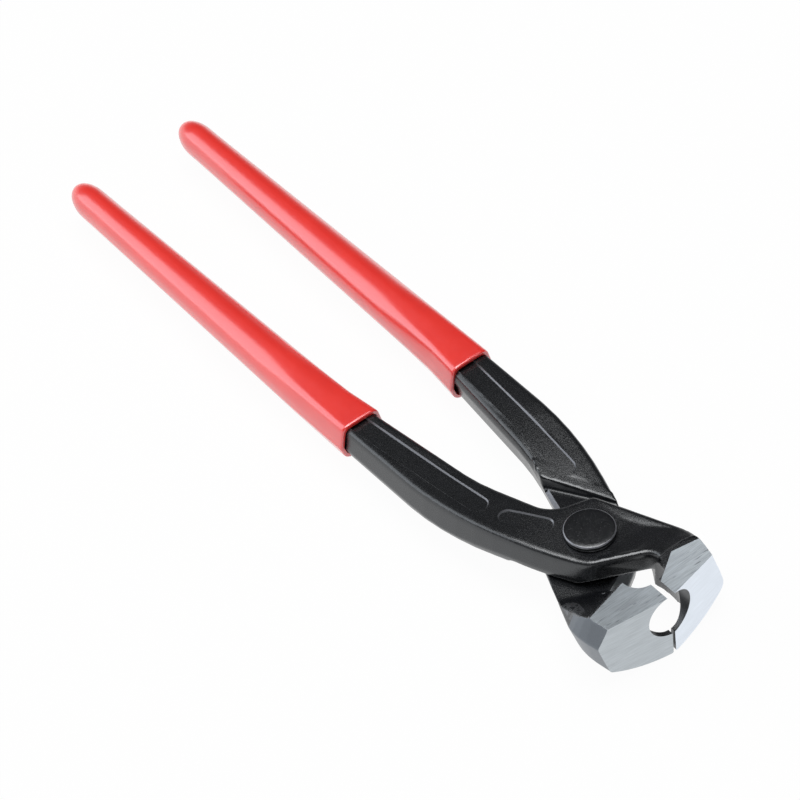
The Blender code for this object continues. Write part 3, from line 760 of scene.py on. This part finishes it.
def slim_tang(mesh, body):
    """The tang drawn in where the sleeve hides it, so that the rounder sleeve covers it."""
    rows = grip_profile(body)
    co = arrays(mesh)[0]
    depth = (rows[-1, 0] - co[:, 0]) / MM
    middle = np.interp(co[:, 0], rows[:, 0], rows[:, 2])
    share = np.interp(depth, TANG_FADE, (1.0, TANG_SHARE))
    co[:, 1] = middle + (co[:, 1] - middle) * share
    co[:, 2] = PIVOT.z + (co[:, 2] - PIVOT.z) * share
    mesh.vertices.foreach_set("co", co.ravel())
    mesh.update()


def front_normal(body, side):
    """The direction that one ground front face looks in."""
    lean = math.radians(FRONT_SWEEP[body])
    return Vector((math.cos(lean), side * math.sin(lean), 0))


def fillers(item, floors, body, side):
    """What is added to the CAD solid so that its ground and sunk faces can be cut afresh."""
    front = front_normal(body, side)
    up = Vector((0, 0, 1))
    tip = (PIVOT + Vector((FRONT_REACH, 0, 0)) * MM) @ front
    top = PIVOT.z + JAW_TOP * MM

    def faces_up(face):
        return face.normal.z > 0.999 and abs(face.calc_center_median().z - top) < 1e-5

    def faces_front(face):
        return face.normal @ front > 0.999 and abs(face.calc_center_median() @ front - tip) < 1e-5

    added = [
        stock(item.data, faces_up, up, body + "_facet_stock"),
        stock(item.data, faces_front, front, body + "_front_stock"),
        stock(item.data, faces_up, up + front, body + "_corner_stock"),
        jaw_plug(side, body),
    ]
    if body == "rear":
        added += shoulder_fill(item, side, body)
    low, high = (PANEL_PLUG_MARGIN, -SINK), (PANEL_PLUG_MARGIN, PANEL_DEPTH)
    for name, panel in PANELS.items():
        added.append(panel_bar(floors[name], panel, side, low, high, body + name))
    return added


def grinding(floors, body, side):
    """What is cut from the softened forging."""
    cutters = [
        front_cutter(body, side),
        facet_cutter(body),
        hollow_cutter(),
        hole_cutter(),
        slit_cutter(),
        bevel_cutter(body, side),
    ]
    low, high = (-PANEL_BEVEL, 0.0), PANEL_MOUTH
    for name, panel in PANELS.items():
        cutters.append(panel_bar(floors[name], panel, side, low, high, body + name))
    return cutters


def lever_slots(mesh, floors, body, side):
    """The material slot of each face."""
    centre = np.array([face.center for face in mesh.polygons]) / MM - ORIGIN / MM
    normal = np.array([face.normal for face in mesh.polygons])
    front = np.array(front_normal(body, side))
    reach = (FRONT_REACH - GRIND) * front[0]
    on_front = (normal @ front > 0.99) & (np.abs(centre @ front - reach) < 0.02)
    on_facet = (normal[:, 2] > 0.99) & (np.abs(centre[:, 2] - JAW_TOP + GRIND) < 0.02)
    for line in FACET_LINES[body]:
        on_facet &= ahead_of(centre, line) > 0
    radial = np.hypot(centre[:, 1], centre[:, 2] - HOLE_HEIGHT) - HOLE_RADIUS
    in_hole = (np.abs(radial) < 0.08) & (centre[:, 0] > HOLE_BACK) & (np.abs(normal[:, 0]) < 0.05)
    slots = np.full(len(mesh.polygons), BLACK_SLOT)
    slots[on_relief(centre, normal, side)] = RELIEF_SLOT
    # Panel walls and the lap bevel take the pale steel of a painted highlight
    for name, panel in PANELS.items():
        slots[on_panel_wall(centre, normal, panel, floors[name], side)] = HIGHLIGHT_SLOT
    # The jaws' outer sides take a lighter steel: a painted sheen
    slots[(centre[:, 0] > JAW_SIDE_X) & (normal[:, 1] * side > JAW_SIDE_FACING)] = SHEEN_SIDE_SLOT
    slots[below_step(centre, side)] = STEP_SLOT
    slots[on_bevel(centre, normal, side)] = HIGHLIGHT_SLOT
    slots[on_facet] = FACET_SLOT
    slots[on_front] = FRONT_SLOT
    slots[in_hole] = BORE_SLOT
    return slots


def lever(body, side):
    """The forging of one lever: the CAD solid with its forged edges rounded and its ground faces crisp."""
    item = welded_copy(body + "_lever", body + "_lever_forging")
    tree = BVHTree.FromObject(item, bpy.context.evaluated_depsgraph_get())
    floors = {name: panel_floor(tree, panel, side) for name, panel in PANELS.items()}
    merge(item, fillers(item, floors, body, side))
    remesh = item.modifiers.new("remesh", "REMESH")
    remesh.mode = "VOXEL"
    remesh.voxel_size = VOXEL
    apply_modifiers(item)
    soften(item)
    round_corner(item, side, CORNER_ROUNDS[body])
    cut(item, grinding(floors, body, side))
    mesh = item.data
    split_facet(mesh, FACET_LINES[body])
    for material in (BLACK, FACET, FRONT[body], BORE, RELIEF, HIGHLIGHT_STEEL, JAW_SIDE_SHEEN, BLACK_STEP):
        mesh.materials.append(material)
    mesh.polygons.foreach_set("material_index", lever_slots(mesh, floors, body, side))
    slim_tang(mesh, body)
    own = (arrays(mesh)[0] - ORIGIN) / MM
    # Rubbed steel and painted highlight along the edges, kept per point
    add_wear_and_highlight(mesh, 3, wear_and_highlight_share(own, side), painted_glint(own, body))
    finish_mesh(item, 32)
    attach(item, body)
    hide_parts(body + "_lever")


def grip_profile(body):
    """X, half width, middle and half height of the CAD sleeve's outside along X, in world metres."""
    mesh = frame["nodes"][body + "_grip"].data
    co = np.array([vertex.co for vertex in mesh.vertices])
    rows = []
    for x in np.unique(np.round(co[:, 0], 6)):
        ring = co[np.abs(co[:, 0] - x) < 2e-6]
        low, high = ring.min(axis=0), ring.max(axis=0)
        rows.append((x, (high[1] - low[1]) / 2, (high[1] + low[1]) / 2, (high[2] - low[2]) / 2))
    rows = np.array(rows)
    straight = rows[rows[:, 0] > rows[0, 0] + (GRIP_TIP_LENGTH - 0.1) * MM]
    ends = straight[[0, -1]]
    outside = straight[:, 3] > np.interp(straight[:, 0], ends[:, 0], ends[:, 3]) - 0.4 * MM
    return np.vstack([rows[:1], straight[outside]])


def grip_section(width, height, ridge, oval, count=88):
    """One section of the sleeve, in millimetres from its middle.

    It goes from a box, with a flat top and drafted sides that meet in a ridge, to an oval.
    """
    # corners: place across, height and radius, as shares of the half sizes
    inset = 0.19 * width
    drop = -0.22 * height
    corners = [
        (width - inset, height, 0.33 * height),
        (-width + inset, height, 0.33 * height),
        (-width, drop, 0.16 * height),
        (-width + 0.9 * inset, -height, 0.42 * height),
        (width - 0.9 * inset, -height, 0.42 * height),
        (width, drop, 0.16 * height),
    ]
    points = []
    for i, (x, z, radius) in enumerate(corners):
        here = np.array((x, z))
        back = np.array(corners[i - 1][:2]) - here
        ahead = np.array(corners[(i + 1) % len(corners)][:2]) - here
        back /= np.linalg.norm(back)
        ahead /= np.linalg.norm(ahead)
        half = math.acos(np.clip(back @ ahead, -1, 1)) / 2
        run = radius / math.tan(half)
        start, end = here + back * run * 1.25, here + ahead * run * 1.25
        for share in np.linspace(0, 1, 9):
            # a quadratic round from one flank to the other
            points.append((1 - share) ** 2 * start + 2 * share * (1 - share) * here + share**2 * end)
    points = np.array(points)
    closed = np.vstack([points, points[:1]])
    step = np.linalg.norm(np.diff(closed, axis=0), axis=1)
    length = np.concatenate([[0], np.cumsum(step)])
    at = np.linspace(0, length[-1], count, endpoint=False)
    loop = np.stack([np.interp(at, length, closed[:, k]) for k in (0, 1)], axis=1)
    loop[:, 0] *= width / np.abs(loop[:, 0]).max()
    angles = np.arctan2(loop[:, 1] / height, loop[:, 0] / width)
    power = np.where(np.sin(angles) < 0, OVAL_FULLNESS, 1.0)
    egg = np.stack([np.sign(f) * np.abs(f) ** power for f in (np.cos(angles), np.sin(angles))], axis=1)
    loop = (1 - oval) * loop + oval * egg * np.array((width, OVAL_HEIGHT * height))
    bead = ridge * np.exp(-(((loop[:, 1] - drop) / RIDGE_SPREAD) ** 2))
    loop[:, 0] += np.sign(loop[:, 0]) * (bead - ridge)
    return loop


def grip(body):
    """A dipped sleeve with the forging's parting line showing through it and a soft rolled lip."""
    rows = grip_profile(body)
    xs = rows[:, 0] / MM
    tip, lip = xs[0], xs[-1]
    tip_end = tip + GRIP_TIP_LENGTH
    bore_end = tip + BORE_END
    builder = bmesh.new()
    rings = []

    def size(x):
        return [np.interp(max(x, tip_end), xs, rows[:, k] / MM) for k in (1, 2, 3)]

    def ring(x, scale, shrink, ridge):
        width, middle, height = size(x)
        oval = float(np.interp(lip - x, *OVAL_SHARE))
        loop = grip_section(width * scale - shrink, height * scale - shrink, ridge, oval)
        rings.append([builder.verts.new((x * MM, (y + middle) * MM, PIVOT.z + z * MM)) for y, z in loop])

    stations = []
    for share in np.linspace(0, 1, 20)[1:]:
        angle = math.pi / 2 * (1 - share)
        stations.append((tip + GRIP_TIP_LENGTH * (1 - math.sin(angle)), math.cos(angle) ** 0.8, 0.0))
    for x in np.linspace(tip_end, lip - LIP_RUN, 60)[1:]:
        stations.append((x, 1.0, 0.0))
    for angle in np.linspace(0, math.pi / 2, 5)[1:]:
        x = lip - LIP_ROUND + LIP_ROUND * math.sin(angle)
        stations.append((x, 1.0, LIP_ROUND * (1 - math.cos(angle))))
    for x, scale, shrink in stations:
        fade = float(np.clip((x - tip - RIDGE_START) / RIDGE_FADE, 0, 1))
        ring(x, scale, shrink, RIDGE * fade)
    for shrink in np.linspace(LIP_INNER, GRIP_WALL, 3):
        ring(lip, 1.0, shrink, 0.0)
    for x in (lip - 0.5, lip - 2, lip - 6, lip - 20, (lip + bore_end) / 2, bore_end + 12, bore_end):
        ring(x, 1.0, GRIP_WALL, 0.0)
    bridge(builder, rings)
    pole = builder.verts.new((rows[0, 0], size(tip)[1] * MM, PIVOT.z))
    for i in range(len(rings[0])):
        builder.faces.new((rings[0][(i + 1) % len(rings[0])], rings[0][i], pole))
    builder.faces.new(rings[-1])
    item = built(builder, body + "_grip_sleeve")
    item.data.materials.append(DIP)
    finish_mesh(item, 50)
    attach(item, body)
    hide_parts(body + "_grip")


def rivet(count=128):
    """The turned rivet, its heads slightly domed and their rims rounded and painted bright as a highlight."""
    profile = [(0.0, RIVET_FACE)]
    for r in np.linspace(0.6, RIVET_HEAD - 0.7, 8):
        profile.append((r, RIVET_FACE - RIVET_DOME * (r / RIVET_HEAD) ** 2))
    for angle in np.linspace(math.pi / 2, 0, 9):
        r = RIVET_HEAD - RIVET_RIM + RIVET_RIM * math.cos(angle)
        profile.append((r, RIVET_FACE - RIVET_RIM_DEPTH + RIVET_RIM * math.sin(angle)))
    profile += [(RIVET_HEAD, RIVET_SEAT + 0.2), (RIVET_HEAD - 0.15, RIVET_SEAT), (RIVET_SHANK, RIVET_SEAT)]
    profile += [(r, -z) for r, z in reversed(profile)]
    angles = [2 * math.pi * i / count for i in range(count)]
    builder = bmesh.new()
    rings = []
    for r, z in profile:
        loop = [(r * math.cos(a), r * math.sin(a), z) for a in angles] if r else [(0, 0, z)]
        rings.append([builder.verts.new(PIVOT + Vector(point) * MM) for point in loop])
    for near, far in zip(rings, rings[1:]):
        for i in range(count):
            j = (i + 1) % count
            if len(near) == 1:
                builder.faces.new((near[0], far[i], far[j]))
            elif len(far) == 1:
                builder.faces.new((near[i], far[0], near[j]))
            else:
                builder.faces.new((near[i], far[i], far[j], near[j]))
    item = built(builder, "rivet_turned")
    mesh = item.data
    mesh.materials.append(BLACK_RIVET)
    mesh.materials.append(HIGHLIGHT_STEEL)
    tilt = np.array([abs(face.normal.z) for face in mesh.polygons])
    out = np.array([math.hypot(*(face.center - PIVOT)[:2]) for face in mesh.polygons]) / MM
    # The rim's faces take the pale steel of a painted highlight
    on_rim = (tilt > 0.35) & (tilt < 0.93) & (out > RIVET_HEAD - 0.6)
    mesh.polygons.foreach_set("material_index", on_rim.astype(int))
    add_wear_and_highlight(mesh, 1)
    finish_mesh(item, 40)
    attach(item, "front")
    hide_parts("rivet")


def add_camera():
    """The photograph's viewing angle: a long lens from in front of the jaws, to the side and above."""
    level = math.cos(ELEVATION)
    back = Vector((math.sin(AZIMUTH) * level, -math.cos(AZIMUTH) * level, math.sin(ELEVATION)))
    flat = Vector((math.cos(AZIMUTH), math.sin(AZIMUTH), 0))
    steep = back.cross(flat)
    right = flat * math.cos(ROLL) - steep * math.sin(ROLL)
    up = flat * math.sin(ROLL) + steep * math.cos(ROLL)
    distance = FOCAL / PIXELS_PER_MM * MM
    aside = (PIVOT_U - PICTURE / 2) / FOCAL * distance
    above = -(PIVOT_V - PICTURE / 2) / FOCAL * distance
    camera = bpy.data.cameras.new("photo_camera")
    camera.sensor_width = SENSOR
    camera.lens = SENSOR * FOCAL / PICTURE
    camera.clip_start = 0.01
    item = link("photo_camera", camera)
    columns = Matrix((right, up, back)).transposed().to_4x4()
    columns.translation = PIVOT - right * aside - up * above + back * distance
    item.matrix_world = columns
    bpy.context.scene.camera = item


def add_light(name, place, target, size, energy, colour):
    light = bpy.data.lights.new(name, "AREA")
    light.shape = "RECTANGLE"
    light.size, light.size_y = size
    light.energy = energy
    light.color = colour
    item = link(name, light)
    item.location = place
    item.rotation_euler = (Vector(target) - Vector(place)).to_track_quat("-Z", "Y").to_euler()


def seen_white(tree, share):
    """The share to the camera and in reflections, and nothing to other rays."""
    path = tree.nodes.new("ShaderNodeLightPath")
    total = path.outputs["Is Camera Ray"]
    for name in ("Is Glossy Ray", "Is Transmission Ray"):
        both = tree.nodes.new("ShaderNodeMath")
        both.operation = "MAXIMUM"
        tree.links.new(total, both.inputs[0])
        tree.links.new(path.outputs[name], both.inputs[1])
        total = both.outputs[0]
    part = tree.nodes.new("ShaderNodeMath")
    part.operation = "MULTIPLY"
    part.inputs[1].default_value = share
    tree.links.new(total, part.inputs[0])
    return part.outputs[0]


def add_floor():
    """A pale floor that looks white and keeps a trace of the shadow."""
    builder = bmesh.new()
    bmesh.ops.create_grid(builder, x_segments=1, y_segments=1, size=4.0)
    mesh = bpy.data.meshes.new("floor")
    builder.to_mesh(mesh)
    builder.free()
    floor = link("floor", mesh)
    floor.location = (0, 0, -FLOOR_GAP)
    material = bpy.data.materials.new("white_floor")
    material.use_nodes = True
    tree = material.node_tree
    shader = tree.nodes["Principled BSDF"]
    shader.inputs["Base Color"].default_value = (0.86, 0.86, 0.86, 1)
    shader.inputs["Roughness"].default_value = 0.9
    glow = tree.nodes.new("ShaderNodeEmission")
    mixer = tree.nodes.new("ShaderNodeMixShader")
    tree.links.new(seen_white(tree, FLOOR_SHARE), mixer.inputs[0])
    tree.links.new(shader.outputs[0], mixer.inputs[1])
    tree.links.new(glow.outputs[0], mixer.inputs[2])
    tree.links.new(mixer.outputs[0], tree.nodes["Material Output"].inputs["Surface"])
    mesh.materials.append(material)


def add_world():
    """A grey studio, bright near the horizon and weaker towards +Y."""
    world = bpy.data.worlds.new("studio")
    bpy.context.scene.world = world
    world.use_nodes = True
    tree = world.node_tree
    where = tree.nodes.new("ShaderNodeTexCoord")
    parts = tree.nodes.new("ShaderNodeSeparateXYZ")
    ramp = tree.nodes.new("ShaderNodeValToRGB")
    elements = ramp.color_ramp.elements
    elements.new(0.5)
    for element, (at, grey) in zip(elements, SKY):
        element.position = at
        element.color = (grey, grey, grey, 1)
    fall = tree.nodes.new("ShaderNodeMapRange")
    for name, value in SKY_FALL:
        fall.inputs[name].default_value = value
    background = tree.nodes["Background"]
    tree.links.new(where.outputs["Generated"], parts.inputs[0])
    tree.links.new(parts.outputs["Z"], ramp.inputs["Fac"])
    tree.links.new(parts.outputs["Y"], fall.inputs["Value"])
    tree.links.new(ramp.outputs["Color"], background.inputs["Color"])
    tree.links.new(fall.outputs["Result"], background.inputs["Strength"])


BLACK = black_steel("blackened_forging")
BLACK_STEP = black_steel("blackened_step", roughness=0.23, edge_wear_and_highlight=0.0, gloss=0.6)
BLACK_RIVET = black_steel("blackened_rivet", roughness=0.21, edge_wear_and_highlight=0.0)
FACET = ground_steel("ground_facet", (0.41, 0.45, 0.485), 0.46, 0.5, contrast=0.45, marks=0.7)
PALE_TURN = math.radians(FRONT_SWEEP["front"])
GREY_TURN = -math.radians(FRONT_SWEEP["rear"])
# The two front faces are one ground steel in a pale and a grey copy: painted light on the front lever's face,
# painted shade on the rear lever's
FRONT = {
    "front": ground_steel("ground_front_painted_lit", (0.80, 0.86, 0.94), 0.34, 0.15, contrast=0.12, turn=PALE_TURN),
    "rear": ground_steel("ground_front_painted_shade", (0.50, 0.54, 0.57), 0.34, 0.2, contrast=0.25, turn=GREY_TURN),
}
BORE = ground_steel("drilled_bore", (0.16, 0.165, 0.17), 0.42, 0.2)
RELIEF = ground_steel("ground_relief", (0.36, 0.38, 0.40), 0.5, 0.4, contrast=0.4)
# Lighter steel on the jaws' outer sides: a painted sheen on the blackened forging
JAW_SIDE_SHEEN = ground_steel("jaw_side_painted_sheen", (0.19, 0.21, 0.235), 0.38, 0.15, contrast=0.15)
# Pale steel on the panels' walls, the lap bevel and the rivet's rim: a painted highlight
HIGHLIGHT_STEEL = ground_steel("painted_highlight_edge", (0.34, 0.35, 0.38), 0.42, 0.2, contrast=0.4)
DIP = dipped_vinyl("dipped_vinyl")

lever("front", 1)
lever("rear", -1)
rivet()
grip("front")
grip("rear")

add_camera()
add_floor()
add_world()
add_light("key", (0.0, 0.05, 1.05), (0.0, 0, 0), (0.7, 0.7), 8.6, (1.0, 0.99, 0.98))
add_light("side", (-0.63, -0.58, 0.62), (-0.02, 0, 0.01), (0.6, 1.1), 3.7, (0.92, 0.96, 1.0))
bpy.context.scene.view_settings.view_transform = "Standard"
